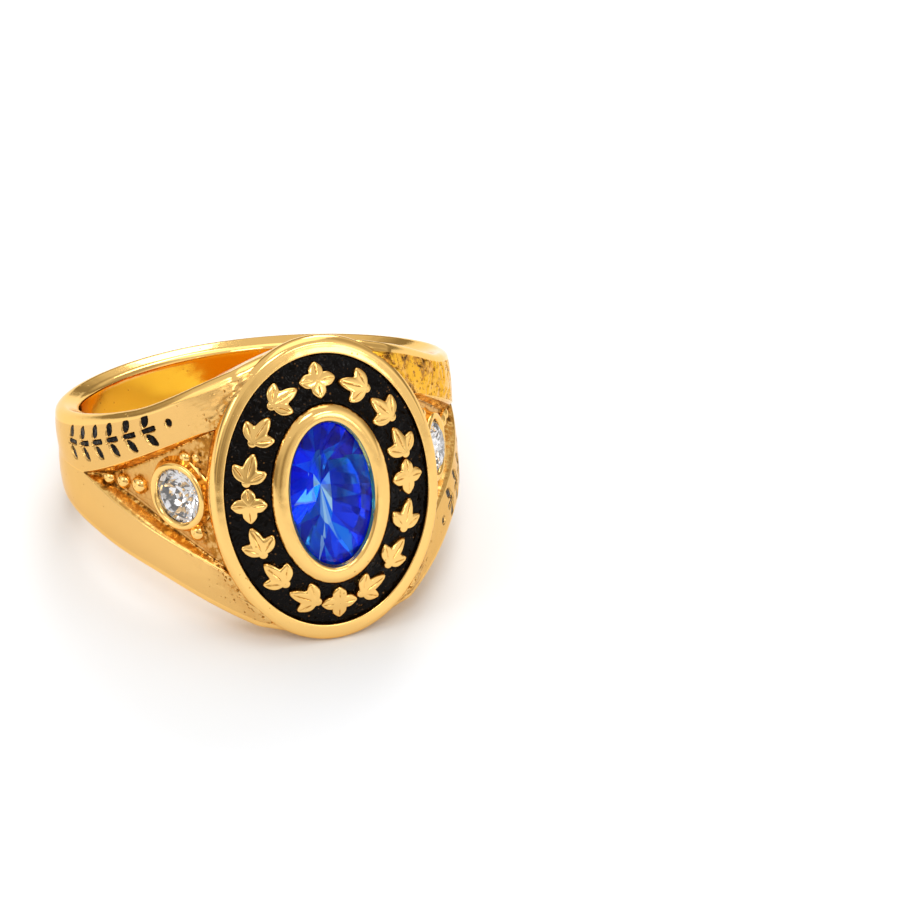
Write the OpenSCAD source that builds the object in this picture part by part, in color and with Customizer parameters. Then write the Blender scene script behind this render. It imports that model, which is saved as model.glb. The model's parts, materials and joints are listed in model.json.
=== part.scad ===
// A statement ring: an oval class ring with an enamelled channel, a blue centre stone and split shoulders.
// Ring frame: X across the finger, Y from the face (-Y) to the back of the band (+Y), Z along the finger.
// Angles round the band are counted from the back: 0 at the back, 180 at the face, positive on the -X side.
// Heights on the head are counted outward from the top of its rim.

/* [Finger and band] */
// Bore that takes the finger
finger_d = 20; // [19:0.5:20.5]
// Thickness of the band away from the head
band_t = 1.5; // [1.4:0.05:1.6]
// Width of the band at the back of the finger
band_w = 3.9; // [3.7:0.1:4.1]
// Rounding of the band's edges at the back
edge_r = 0.6; // [0.5:0.05:0.65]

/* [Shoulders] */
// Half width that the band gains between the back and the head
shoulder_gain = 7.25; // [7.1:0.05:7.4]
// Half width that the last stretch before the head adds
shoulder_flare = 0.95; // [0.85:0.05:1.0]
// How far the shoulders swell outward before the head
shoulder_swell = 2.35; // [2.2:0.05:2.5]
// Half height of the sunk panel where it meets the head
panel_half = 3.87; // [3.6:0.05:3.95]
// Depth of the sunk panel at its two ends
panel_depth = 0.3; // [0.2:0.05:0.4]
// Further depth of the panel half-way along
panel_dip = 0.55; // [0.4:0.05:0.6]

/* [Head] */
// Distance from the finger's centre to the top of the rim
face_h = 13.75; // [13.5:0.05:14]
// Width of the oval head, across the finger
head_w = 13.6; // [13.4:0.1:13.8]
// Length of the oval head, along the finger
head_l = 18.2; // [18:0.1:18.4]
// Rise of the channel from the rim to the inner bezel
channel_rise = 1; // [0.8:0.05:1.1]
// Depth of the channel's floor below the tops of the ornaments
channel_depth = 0.55; // [0.45:0.05:0.6]
// Thickness of the enamel in the channel
enamel_t = 0.3; // [0.2:0.05:0.35]

/* [Stones] */
// Width of the oval centre stone
centre_w = 5.5; // [5.3:0.1:5.6]
// Length of the oval centre stone
centre_l = 9.15; // [9:0.05:9.25]
// Diameter of the round side stones
side_d = 3.3; // [3.1:0.1:3.4]
// Angle round the band at which the side stones sit
side_at = 143; // [142:0.5:144]

/* [Ornament] */
// Places round the channel that hold a raised ornament
places = 16; // [12:4:16]
// Height of the engraved sprig on a rail
sprig_h = 2.1; // [1.9:0.1:2.2]
// Depth of the engraving
engrave_depth = 0.3; // [0.2:0.05:0.35]

/* [Hidden] */

// Clearance round every fitted piece, and the overlap of soldered ones.
gap = 0.03;
bite = 0.1;
finger_r = finger_d / 2;
half_w0 = band_w / 2;
head_a = head_w / 2;
head_b = head_l / 2;

// The band: angles between which its shape changes, its crown, its inner lip and the stock inside the bore.
soft_stop = 14;
gain_power = 2.75;
swell_from = 100;
swell_span = 60;
swell_power = 1.75;
flare_from = 128;
flare_to = 168;
face_from = 140;
face_limit = face_h - channel_depth - bite;
edge_from = 90;
edge_to = 130;
edge_at_head = 0.45;
crown = 0.05;
bore_bevel = 0.35;
bore_stock = 0.4;
lip_back = 0.2;
lip_more = 0.6;

// The sunk panel: its apex, where it meets the head, where its cut ends, and how it deepens.
panel_from = 102;
panel_to = 150;
panel_end = 158;
panel_power = 1.2;
panel_start = 6;
panel_step = 4;
panel_dip_span = 51;
wall_lean = 0.6;

// The head's rows: rounding of the rim, then insets of rim, channel and inner bezel. The ends are wider than
// the sides.
rim_side = 0.72;
rim_end = 1.0;
rim_r = 0.5;
rim_soft = 0.7;
channel_side = 2.57;
channel_end = 2.74;
bezel_t = 0.92;
bezel_rise = 0.24;
bezel_crest = 0.35;
floor_in_side = rim_side + channel_side;
floor_in_end = rim_end + channel_end;
lip_t = 0.13;
lip = floor_in_side + bezel_t;
lip_end = floor_in_end + bezel_t;
seat = head_a - centre_w / 2 - gap;
seat_end = head_b - centre_l / 2 - gap;

// The side stones' bezels: wall, rise above the panel's floor and height of the girdle's underside.
side_wall = 0.38;
side_rise = 0.68;
side_seat = 0.26;

// The engraved rail: angle of its first pair of leaves, pairs and pitch.
sprig_from = 98;
sprig_pairs = 6;
sprig_pitch = 7.4;

// How finely curves are drawn.
edge_step = 30;
band_steps = 72;
head_steps = 52;
bead_sides = 10;
bezel_sides = 18;

// The ring rests on the low end of its rim and on the second corner of the rounding at the band's back.
tilt = atan((head_b - half_w0 + edge_r * (1 - cos(edge_step)))
            / (face_h - rim_r + finger_r + band_t - edge_r * (1 - sin(edge_step))));
edge_reach = edge_r * cos(edge_step - tilt);
bezel_mid_b = head_b - floor_in_end - bezel_crest;
front_low = -(face_h + channel_rise + bezel_rise) * cos(tilt) - bezel_mid_b * sin(tilt);
back_high = (finger_r + band_t - edge_r) * cos(tilt) + (half_w0 - edge_r) * sin(tilt) + edge_reach;
floor_low = (face_h - rim_r) * sin(tilt) - head_b * cos(tilt);

function smooth(t) = let (c = min(1, max(0, t))) c * c * (3 - 2 * c);
function unit(v) = v / norm(v);

// Way round the band from its back, as a share of the half turn, with a soft stop under the face.
function share(a) = max(0, 1 - norm([180 - abs(a), soft_stop]) / 180);
// How far the band has flared towards the head, from 0 to 1.
function flare(a) = smooth((abs(a) - flare_from) / (flare_to - flare_from));
// Shape of the band at angle a: half widths, outer radius and rounding of the outer edge.
function half_w(a) = half_w0 + shoulder_gain * pow(share(a), gain_power) + shoulder_flare * flare(a);
function bore_half_w(a) = half_w(a) - lip_back - lip_more * flare(a);
function swell(a) = shoulder_swell * pow(max(0, abs(a) - swell_from) / swell_span, swell_power);
function outer_r(a) = let (r = finger_r + band_t + swell(a))
    abs(a) > face_from ? min(r, face_limit / -cos(a)) : r;
function outer_edge_r(a) = let (t = smooth((abs(a) - edge_from) / (edge_to - edge_from)))
    edge_r * (1 - t) + edge_at_head * t;

// The sunk panel: half height at the rail's surface, depth below it, and half height of its floor.
function panel_h(a) = panel_half * pow(max(0, a - panel_from) / (panel_to - panel_from), panel_power);
function panel_d(a) = smooth((a - panel_from) / panel_start)
    * (panel_depth + panel_dip * sin(180 * min(1, max(0, (a - panel_from) / panel_dip_span))));
function panel_floor_h(a) = max(gap, panel_h(a) - wall_lean * panel_d(a));
function floor_r(a) = outer_r(a) - panel_d(a);

// Centre line of the upper rail.
function rail_z(a) = (half_w(a) + panel_h(a)) / 2;

// Slopes, as the rise of a radius over the way along the band.
function rail_slope(a) = (outer_r(a + 0.5) - outer_r(a - 0.5)) * 180 / PI / outer_r(a);
function floor_slope(a) = (floor_r(a + 0.5) - floor_r(a - 0.5)) * 180 / PI / floor_r(a);

// One cross section of the band, in radius and height, from the bore's edge round to the other one.
function half_section(a) = let (wi = bore_half_w(a), wo = half_w(a), ro = outer_r(a), e = outer_edge_r(a))
    concat([[finger_r - bore_stock, wi - bore_bevel - bore_stock / 2],
            [finger_r + 0.3 * bore_bevel, wi - 0.3 * bore_bevel], [finger_r + bore_bevel, wi]],
           [for (t = [90:-edge_step:0]) [ro - e + e * cos(t), wo - e + e * sin(t)]],
           [[ro + crown, wo / 2]]);
function mirrored(s) = [for (i = [len(s) - 1:-1:0]) [s[i].x, -s[i].y]];
function band_section(a) = concat(half_section(a), mirrored(half_section(a)));
function at_angle(a, s) = [for (p = s) [-p.x * sin(a), p.x * cos(a), p.y]];

// Faces of a closed loop of equal sections.
function loop_faces(n, m) = [for (i = [0:n - 1], j = [0:m - 1])
    [i * m + j, (i + 1) % n * m + j, (i + 1) % n * m + (j + 1) % m, i * m + (j + 1) % m]];
// Faces of a stack of equal sections with a cap at each end.
function stack_faces(n, m) = concat(
    [[for (j = [0:m - 1]) j]],
    [for (i = [0:n - 2], j = [0:m - 1])
        [i * m + j, (i + 1) * m + j, (i + 1) * m + (j + 1) % m, i * m + (j + 1) % m]],
    [[for (j = [m - 1:-1:0]) (n - 1) * m + j]]);
function flat_list(rows) = [for (row = rows, p = row) p];

// Places children on the band at angle a and height z, at radius r, with their +Z out of the surface.
module on_band(a, z, r, slope) {
    out = unit([-sin(a) + slope * cos(a), cos(a) + slope * sin(a)]);
    multmatrix([[-out.y, 0, out.x, -r * sin(a)],
                [out.x, 0, out.y, r * cos(a)],
                [0, 1, 0, z]])
        children();
}

// Places children in the channel at angle t of its oval: +X along it, +Y towards the stone, +Z outward.
module on_channel(t) {
    outer = [(head_a - rim_side) * cos(t), -face_h, (head_b - rim_end) * sin(t)];
    inner = [(head_a - floor_in_side) * cos(t), -face_h - channel_rise, (head_b - floor_in_end) * sin(t)];
    middle = (outer + inner) / 2;
    across = unit(inner - outer);
    run = [-(head_a - (rim_side + floor_in_side) / 2) * sin(t), 0,
           (head_b - (rim_end + floor_in_end) / 2) * cos(t)];
    along = unit(run - across * (run * across));
    up = cross(along, across);
    multmatrix([for (i = [0:2]) [along[i], across[i], up[i], middle[i]]])
        children();
}

// One oval of the head, inset from its outline, with heights above the rim at its sides and at its ends.
function oval(inset_side, inset_end, height, end_height) =
    [for (i = [0:head_steps - 1]) let (t = i * 360 / head_steps)
        [(head_a - inset_side) * cos(t), -face_h - height + (height - end_height) * pow(sin(t), 2),
         (head_b - inset_end) * sin(t)]];
// The same for each row of [inset at the side, inset at the end, height, height at the end if it differs].
function ovals(rows) = [for (row = rows) oval(row[0], row[1], row[2], len(row) > 3 ? row[3] : row[2])];
module oval_stack(rows) {
    polyhedron(flat_list(ovals(rows)), stack_faces(len(rows), head_steps), convexity = 8);
}

module band() {
    turns = [for (i = [0:band_steps - 1]) i * 360 / band_steps - 180];
    sections = [for (a = turns) at_angle(a, band_section(a))];
    polyhedron(flat_list(sections), loop_faces(band_steps, len(sections[0])), convexity = 6);
}

// What is sunk into each shoulder: a wedge that opens outward.
module panel_space() {
    above = 0.5;
    sections = [for (a = [panel_from + panel_step / 8:panel_step:panel_end])
        let (r = floor_r(a), h = panel_floor_h(a), top = outer_r(a) + above, th = h + wall_lean * (top - r))
        at_angle(a, [[r, h], [top, th], [top, -th], [r, -h]])];
    polyhedron(flat_list(sections), stack_faces(len(sections), 4), convexity = 4);
}

// The head: wall, rounded rim, sloped channel and raised inner bezel.
module head() {
    cast_floor = channel_rise - channel_depth;
    rows = concat(
        // The wall's foot, which the band covers, its middle and its top.
        [[2.0, 1.5, -3.4, -2.6], [0.4, 0.55, -2.4, -1.7], [0.08, 0.12, -0.9, -0.9]],
        // The rim's round outer edge and its sharper inner one.
        [for (t = [0:edge_step:90])
            [rim_soft * rim_r * (1 - cos(t)), rim_r * (1 - cos(t)), rim_r * (sin(t) - 1)]],
        [[rim_side - 0.06, rim_end - 0.08, 0], [rim_side, rim_end, -0.08]],
        // The channel's outer wall, its sloped floor and its inner wall.
        [[rim_side, rim_end, -channel_depth], [floor_in_side, floor_in_end, cast_floor],
         [floor_in_side, floor_in_end, channel_rise - 0.05]],
        // The domed inner bezel.
        [for (p = [[0.1, 0.14], [bezel_crest, bezel_rise], [0.65, 0.18]])
            [floor_in_side + p.x, floor_in_end + p.x, channel_rise + p.y]],
        // The lip over the stone's crown, undercut down to the girdle.
        [[lip, lip_end, channel_rise], [lip, lip_end, channel_rise - lip_t],
         [seat, seat_end, channel_rise - 2 * lip_t]]);
    oval_stack(rows);
}

// The closed cup below the centre stone: the groove round its girdle and the hollow under its pavilion.
module centre_cup() {
    oval_stack([[head_a - 1, head_b - 2.4, -1.95],
                [seat, seat_end, channel_rise - 0.6], [seat, seat_end, channel_rise - 2 * lip_t],
                [lip + bite, lip_end + bite, channel_rise - 1.5 * lip_t]]);
}

// A turned bezel for a side stone, standing on the panel's floor, before its cup is sunk.
module side_bezel() {
    outer = side_d / 2 + side_wall;
    rotate_extrude($fn = bezel_sides)
        polygon([[0, -0.6], [outer + 0.1, -0.6], [outer + 0.05, 0.35], [outer - 0.08, 0.62],
                 [outer - 0.25, side_rise], [0, side_rise]]);
}

// The cup of a side stone: the lip, the groove that holds the girdle and the space below it.
module side_cup() {
    side_lip = side_d / 2 - 2 * gap;
    groove = (side_d / 2 + gap) / cos(180 / bezel_sides);
    rotate_extrude($fn = bezel_sides)
        polygon([[0, -1.15], [0.35, -1.15], [groove, side_seat - 0.04], [groove, side_seat + 0.16],
                 [side_lip, side_seat + 0.24], [side_lip, 0.9], [0, 0.9]]);
}

module bead(a, z, r) {
    on_band(a, z, floor_r(a) - bite, floor_slope(a)) sphere(r, $fn = bead_sides);
}

module panel_beads() {
    bead(113.2, 0, 0.44);
    bead(119.6, 0, 0.48);
    bead(126.6, 0, 0.55);
    bead(146.6, -2.2, 0.54);
    bead(145, 2.25, 0.43);
    bead(148.6, 2.35, 0.36);
}

// A pointed leaf from the origin along +X.
module leaf_2d(length, width) {
    // Each edge is a parabola, close to the arc that a graver follows.
    upper = [for (t = [0:0.25:1]) [t * length, width / 2 * 4 * t * (1 - t)]];
    polygon(concat(upper, [for (i = [len(upper) - 2:-1:1]) [upper[i].x, -upper[i].y]]));
}

// The raised ornaments of the channel: a three-leaved sprig and a rosette of four petals.
module sprig_2d() {
    translate([-0.83, 0]) {
        leaf_2d(1.85, 0.84);
        for (side = [-1, 1]) rotate(side * 50) leaf_2d(1.38, 0.78);
    }
}

module rosette_2d() {
    circle(0.45, $fn = 8);
    for (turn = [0:90:270]) rotate(turn) translate([0.1, 0]) leaf_2d(1.02, 0.86);
}

// Places children of the two kinds round the channel, evenly along its length.
module round_channel() {
    for (i = [0:places - 1]) {
        u = i * 360 / places;
        on_channel(u - 4.8 * sin(2 * u)) {
            if (i % (places / 4) == 0) children(1);
            else mirror([u > 90 && u < 270 ? 1 : 0, 0, 0]) children(0);
        }
    }
}

module ornaments() {
    round_channel() {
        translate([0, 0, -channel_depth - bite]) linear_extrude(channel_depth + bite) sprig_2d();
        translate([0, 0, -channel_depth - bite]) linear_extrude(channel_depth + bite) rosette_2d();
    }
}

// The engraved sprig of a rail: leaves in pairs along a broken stem, closed by a berry.
module rail_sprig(below, above, clear) {
    for (i = [0:sprig_pairs - 1]) {
        a = sprig_from + i * sprig_pitch;
        lean = atan((rail_z(a + 1) - rail_z(a - 1)) / (outer_r(a) * PI / 90));
        on_band(a, rail_z(a), outer_r(a), rail_slope(a))
            translate([0, 0, -below]) linear_extrude(below + above) offset(delta = clear) rotate(lean) {
                translate([-0.56, -0.13]) square([1.12, 0.26]);
                for (side = [-1, 1])
                    translate([-0.35, side * 0.2]) rotate(side * 50) leaf_2d(sprig_h / 2, 0.52);
            }
    }
    a = sprig_from + sprig_pairs * sprig_pitch - 0.5;
    on_band(a, rail_z(a), outer_r(a), rail_slope(a))
        translate([0, 0, -below]) linear_extrude(below + above) circle(0.22 + clear, $fn = 8);
}

// What each shoulder carries; the two shoulders are alike after half a turn about the face's axis.
module both_shoulders() {
    for (turn = [0, 180]) rotate([0, turn, 0]) children();
}

module casting() {
    difference() {
        union() {
            difference() {
                band();
                both_shoulders() panel_space();
                both_shoulders() rail_sprig(engrave_depth, 0.3, 0);
            }
            head();
            ornaments();
            both_shoulders() {
                panel_beads();
                on_band(side_at, 0, floor_r(side_at), floor_slope(side_at)) side_bezel();
            }
        }
        both_shoulders() on_band(side_at, 0, floor_r(side_at), floor_slope(side_at)) side_cup();
        centre_cup();
    }
}

function ring_of(n, turn, a, b, r, z) =
    [for (i = [0:n - 1]) let (t = turn + i * 360 / n) [a * r * cos(t), b * r * sin(t), z]];

// An oval brilliant, row by row: table, star tips, top and bottom of the girdle, pavilion tips, culet.
module brilliant(a, b, crown, girdle, pavilion) {
    table_r = 0.6;
    star_r = 0.82;
    tip_r = 0.3;
    // The star and pavilion tips lie in the planes of the kite facets beside them.
    star_z = crown * (1 - star_r * cos(22.5)) / (1 - table_r);
    tip_z = pavilion * (1 - tip_r * cos(22.5));
    points = concat(ring_of(8, 0, a, b, table_r, girdle + crown),
                    ring_of(8, 22.5, a, b, star_r, girdle + star_z),
                    ring_of(16, 0, a, b, 1, girdle), ring_of(16, 0, a, b, 1, 0),
                    ring_of(8, 22.5, a, b, tip_r, -tip_z), [[0, 0, -pavilion]]);
    star = 8;
    top = 16;
    low = 32;
    tip = 48;
    culet = 56;
    faces = concat(
        [[for (i = [7:-1:0]) i]],
        [for (i = [0:7]) [i, (i + 1) % 8, star + i]],
        [for (i = [0:7]) [i, star + i, top + 2 * i]],
        [for (i = [0:7]) [i, top + 2 * i, star + (i + 7) % 8]],
        [for (i = [0:7]) [star + i, top + 2 * i + 1, top + 2 * i]],
        [for (i = [0:7]) [star + i, top + (2 * i + 2) % 16, top + 2 * i + 1]],
        [for (i = [0:15]) [top + i, top + (i + 1) % 16, low + (i + 1) % 16, low + i]],
        [for (i = [0:7]) [low + 2 * i, low + 2 * i + 1, tip + i]],
        [for (i = [0:7]) [low + 2 * i + 1, low + (2 * i + 2) % 16, tip + i]],
        [for (i = [0:7]) [low + 2 * i, tip + i, culet]],
        [for (i = [0:7]) [low + (2 * i + 2) % 16, culet, tip + i]]);
    polyhedron(points, faces, convexity = 2);
}

// The ring lies on its side, with the middle of its foot at the origin.
module laid_down() {
    translate([0, -(front_low + back_high) / 2, -floor_low]) rotate([-tilt, 0, 0]) children();
}

module ring_body() {
    color("goldenrod") laid_down() difference() {
        // The casting is brought to the band's outside width.
        resize([2 * (finger_r + band_t + crown), 0, 0]) casting();
        cylinder(h = 3 * head_b, r = finger_r, center = true, $fn = 180);
    }
}

module channel_enamel() {
    low = gap - channel_depth;
    rows = [[rim_side + gap, rim_end + gap, low], [rim_side + gap, rim_end + gap, low + enamel_t],
            [floor_in_side - gap, floor_in_end - gap, low + channel_rise + enamel_t],
            [floor_in_side - gap, floor_in_end - gap, low + channel_rise]];
    color("black") laid_down() difference() {
        polyhedron(flat_list(ovals(rows)), loop_faces(4, head_steps), convexity = 6);
        round_channel() {
            translate([0, 0, -1]) linear_extrude(1.5) offset(delta = gap) sprig_2d();
            translate([0, 0, -1]) linear_extrude(1.5) offset(delta = gap) rosette_2d();
        }
    }
}

module centre_stone() {
    color("royalblue") laid_down()
        translate([0, -face_h - channel_rise + 0.55, 0]) rotate([90, 0, 0])
            brilliant(centre_w / 2, centre_l / 2, 0.75, 0.2, 2.3);
}

module side_stone(turn) {
    color("ghostwhite") laid_down() rotate([0, turn, 0])
        on_band(side_at, 0, floor_r(side_at), floor_slope(side_at))
            translate([0, 0, side_seat]) brilliant(side_d / 2, side_d / 2, 0.5, 0.1, 1.25);
}

module rail_inlay(turn) {
    color("black") laid_down() rotate([0, turn, 0]) rail_sprig(engrave_depth - gap, -0.04, -gap);
}

ring_body();
channel_enamel();
centre_stone();
side_stone(0);  // side_stone_left
side_stone(180);  // side_stone_right
rail_inlay(0);  // rail_inlay_left
rail_inlay(180);  // rail_inlay_right
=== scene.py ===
# %% [markdown]
# # A class ring of cast gold, from CAD solids to a finished look
# The ring is one gold casting that holds a blue oval stone, two clear round stones and black enamel. The
# CAD model gives the sizes and the places. This lesson lays smooth, detailed surfaces over it, gives each
# of them its finish, and lights the whole as a jeweller would photograph it. The imported model is loaded
# first, and its box is kept, because every piece made here is held inside it.

# %% Load the frame
import json
import math

import bpy
import numpy as np
from mathutils import Matrix, Vector


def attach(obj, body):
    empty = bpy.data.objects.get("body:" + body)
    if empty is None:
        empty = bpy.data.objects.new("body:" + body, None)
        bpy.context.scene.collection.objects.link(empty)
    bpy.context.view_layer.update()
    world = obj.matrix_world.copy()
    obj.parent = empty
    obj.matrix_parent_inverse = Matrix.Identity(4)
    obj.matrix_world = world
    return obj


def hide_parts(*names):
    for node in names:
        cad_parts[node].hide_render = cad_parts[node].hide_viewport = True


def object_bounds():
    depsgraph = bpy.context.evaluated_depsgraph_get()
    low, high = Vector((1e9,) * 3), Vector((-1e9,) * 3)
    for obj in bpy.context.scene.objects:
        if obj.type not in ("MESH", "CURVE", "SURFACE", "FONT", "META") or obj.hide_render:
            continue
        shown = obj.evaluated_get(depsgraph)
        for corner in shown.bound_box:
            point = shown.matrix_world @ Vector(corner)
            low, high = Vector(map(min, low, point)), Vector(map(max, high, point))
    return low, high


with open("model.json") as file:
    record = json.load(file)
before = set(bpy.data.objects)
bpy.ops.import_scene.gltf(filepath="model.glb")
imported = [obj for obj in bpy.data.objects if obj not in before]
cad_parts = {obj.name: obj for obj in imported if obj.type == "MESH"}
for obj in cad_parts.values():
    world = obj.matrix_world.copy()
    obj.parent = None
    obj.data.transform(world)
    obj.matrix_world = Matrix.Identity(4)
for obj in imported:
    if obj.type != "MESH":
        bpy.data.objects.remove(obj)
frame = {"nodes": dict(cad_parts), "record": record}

cad_low, cad_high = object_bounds()
print("CAD box in mm:", [round(1000 * v, 2) for v in (*cad_low, *cad_high)])

# %% [markdown]
# The ring lies on its side, tipped up, so its shapes are easier to write in a frame of its own: X across
# the finger, Y from the face at the front to the back of the band, Z along the finger, all in
# millimetres. The record's bore gives the middle of the finger's hole, its radius and its direction. One
# turn and one shift take each point from there to the place where its solid lies.

# %% The ring's own frame
MM = 0.001
bore = frame["record"]["mounts"][0]
bore_centre = np.array(bore["pos_m"])
finger_r = bore["dims"]["r_mm"]
tilt = math.atan2(bore["axis"][1], bore["axis"][2])


def to_row(points):
    """Metres in the shared frame: a turn about X by the tilt, a scale to metres and a shift to the bore."""
    x, y, z = np.moveaxis(points, -1, 0)
    back = y * math.cos(tilt) + z * math.sin(tilt)
    up = z * math.cos(tilt) - y * math.sin(tilt)
    return np.stack([x, back, up], -1) * MM + bore_centre


def around(a, r, z):
    """Points at angle a in degrees from the back of the band: x = -r sin a, y = r cos a, at height z."""
    a = np.radians(a)
    return np.stack(np.broadcast_arrays(-r * np.sin(a), r * np.cos(a), z), -1)


def smooth(t):
    """A soft step from 0 to 1: three t squared minus two t cubed, with t held between 0 and 1."""
    t = np.clip(t, 0, 1)
    return t * t * (3 - 2 * t)


print("finger radius", finger_r, "mm, tilt", round(math.degrees(tilt), 2), "degrees")

# %% [markdown]
# ## From grids to meshes
# Every surface here is a grid of points, computed as one array. Its faces join each point to its
# neighbours, and on a closed direction the last line joins the first. A stack of closed rings, such as a
# bead or a bezel, is shut with one point at each end.

# %% Faces of a grid


def grid_faces(rows, columns, closed_rows=False):
    """Quads of a grid stored row by row, with closed columns: i, j to i + 1, j + 1 and back."""
    i, j = np.meshgrid(np.arange(rows if closed_rows else rows - 1), np.arange(columns), indexing="ij")
    down, right = (i + 1) % rows, (j + 1) % columns
    corners = [i * columns + j, down * columns + j, down * columns + right, i * columns + right]
    return np.stack(corners, -1).reshape(-1, 4)


def stack_with_poles(rings):
    """Points and faces of rings, with a pole at the mean of the first and of the last, for one or many."""
    *many, rows, columns, _ = rings.shape
    poles = rings[..., [0, -1], :, :].mean(-2)
    points = np.concatenate([rings.reshape(*many, rows * columns, 3), poles], -2)
    j = np.arange(columns)
    ahead = (j + 1) % columns
    last = (rows - 1) * columns
    fan = np.stack([ahead, j, np.full(columns, rows * columns)], -1)
    end_fan = np.stack([last + j, last + ahead, np.full(columns, rows * columns + 1)], -1)
    return points, [grid_faces(rows, columns), np.concatenate([fan, end_fan])]


# %% [markdown]
# Faces have to point outward, or normals and volumes come out wrong. The volume that a closed mesh
# encloses is a sum over its triangles, and it is negative when they point inward, so its sign says
# whether to turn them. The finished piece is pressed flat by hundredths of a millimetre wherever it would
# leave the CAD's box. It rides on the ring's body, and stands in for the CAD solid that it was laid over.

# %% Making a piece


def enclosed_volume(points, blocks):
    """A sixth of the sum of a . (b x c) over the triangles a, b, c that fan out each face."""
    total = 0.0
    for faces in blocks:
        a, b, c = points[faces[:, :1]], points[faces[:, 1:-1]], points[faces[:, 2:]]
        total += (a * np.cross(b, c)).sum() / 6
    return total


def show(name, data):
    """An object of that name in the scene, from its mesh, light or camera."""
    thing = bpy.data.objects.new(name, data)
    bpy.context.scene.collection.objects.link(thing)
    return thing


def make_piece(name, points, blocks, materials, stands_for, attributes=None, flat=False):
    """A mesh from ring-frame points and blocks of faces with equal corners, turned outward."""
    if enclosed_volume(points, blocks) < 0:
        blocks = [faces[:, ::-1] for faces in blocks]
    mesh = bpy.data.meshes.new(name)
    placed = np.clip(to_row(points), cad_low, cad_high)
    mesh.from_pydata(placed.tolist(), [], [face for faces in blocks for face in faces.tolist()])
    mesh.polygons.foreach_set("use_smooth", np.full(len(mesh.polygons), not flat))
    for material in materials:
        mesh.materials.append(material)
    for key, values in (attributes or {}).items():
        layer = mesh.attributes.new(key, "FLOAT", "POINT")
        layer.data.foreach_set("value", values.astype(np.float32).ravel())
    mesh.update()
    piece = show(name, mesh)
    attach(piece, "root")
    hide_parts(stands_for)
    print(f"{name}: {len(points)} points, {len(mesh.polygons)} faces")
    return piece


# %% [markdown]
# ## Node helpers
# Each finish is a tree of nodes. Patterns read the object's own coordinates, which are metres, so a
# Mapping node scales them to millimetres first: then a pattern's scale is simply how often it repeats in
# a millimetre. The light of the studio will be a tree of nodes as well, so what both need comes first.

# %% A finish and its patterns


class Nodes:
    """A tree of nodes in the making."""

    def __init__(self, tree):
        self.tree = tree

    def add(self, kind, **settings):
        """A new node, with its settings."""
        node = self.tree.nodes.new(kind)
        for key, value in settings.items():
            setattr(node, key, value)
        return node

    def join(self, source, target):
        """A link, or a constant put on the socket where the source is a number or a colour."""
        if isinstance(source, (int, float)):
            target.default_value = source
        elif isinstance(source, tuple):
            target.default_value = (*source, 1)
        else:
            self.tree.links.new(source, target)


class Finish(Nodes):
    """A material in the making, with its shader and its coordinates in millimetres at hand."""

    def __init__(self, name):
        self.material = bpy.data.materials.new(name)
        self.material.use_nodes = True
        super().__init__(self.material.node_tree)
        self.shader = self.tree.nodes["Principled BSDF"]
        place = self.add("ShaderNodeTexCoord")
        scale = self.add("ShaderNodeMapping")
        scale.inputs["Scale"].default_value = (1 / MM,) * 3
        self.join(place.outputs["Object"], scale.inputs["Vector"])
        self.mm = scale.outputs["Vector"]

    def set(self, **values):
        """Values for the shader's own sockets, with _ for the space in a socket's name."""
        for key, value in values.items():
            self.join(value, self.shader.inputs[key.replace("_", " ")])


# %% [markdown]
# Two patterns are enough for cast metal, enamel and paper: cloudy noise for haze, grain, and the brown of
# oxide and painted shade, and Voronoi cells for pits and specks. What depends on the place on the ring,
# such as the stippled panels, comes in as an attribute that the mesh carries.

# %% Patterns


def put(node, **values):
    """Constants for a node's inputs, with _ for the space in an input's name."""
    for key, value in values.items():
        node.inputs[key.replace("_", " ")].default_value = value


def noise(f, scale, detail=2.0, roughness=0.5, distortion=0.0):
    """Cloudy noise around 0.5."""
    node = f.add("ShaderNodeTexNoise")
    put(node, Scale=scale, Detail=detail, Roughness=roughness, Distortion=distortion)
    f.join(f.mm, node.inputs["Vector"])
    return node.outputs["Fac"]


def cells(f, scale):
    """Distance to the nearest of the randomly strewn points."""
    node = f.add("ShaderNodeTexVoronoi")
    put(node, Scale=scale)
    f.join(f.mm, node.inputs["Vector"])
    return node.outputs["Distance"]


def attribute(f, name):
    """A value that the mesh carries, 0 where it carries none."""
    return f.add("ShaderNodeAttribute", attribute_name=name).outputs["Fac"]


# %% [markdown]
# Patterns are combined by arithmetic, and sharpened by fitting a range of them to 0 to 1. A smooth step
# does that without a hard edge.

# %% Arithmetic


def combine(f, operation, a, b, clamp=False):
    """One arithmetic step on two values."""
    node = f.add("ShaderNodeMath", operation=operation, use_clamp=clamp)
    f.join(a, node.inputs[0])
    f.join(b, node.inputs[1])
    return node.outputs[0]


def product(f, a, b, clamp=False):
    """Two values multiplied."""
    return combine(f, "MULTIPLY", a, b, clamp)


def larger(f, a, b):
    """The larger of two values."""
    return combine(f, "MAXIMUM", a, b)


def fit(f, value, low, high, to_low=0.0, to_high=1.0):
    """A smooth step that takes low..high to to_low..to_high."""
    node = f.add("ShaderNodeMapRange", interpolation_type="SMOOTHSTEP")
    put(node, From_Min=low, From_Max=high, To_Min=to_low, To_Max=to_high)
    f.join(value, node.inputs["Value"])
    return node.outputs["Result"]


# %% [markdown]
# A pattern becomes colour by mixing two colours by its share, or relief by a Bump node, whose distance is
# again in metres.

# %% Colour and relief


def mix(f, share, a, b):
    """A colour between a, at share 0, and b, at share 1."""
    node = f.add("ShaderNodeMix", data_type="RGBA")
    for source, socket in zip((share, a, b), (node.inputs[0], node.inputs[6], node.inputs[7])):
        f.join(source, socket)
    return node.outputs[2]


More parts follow.
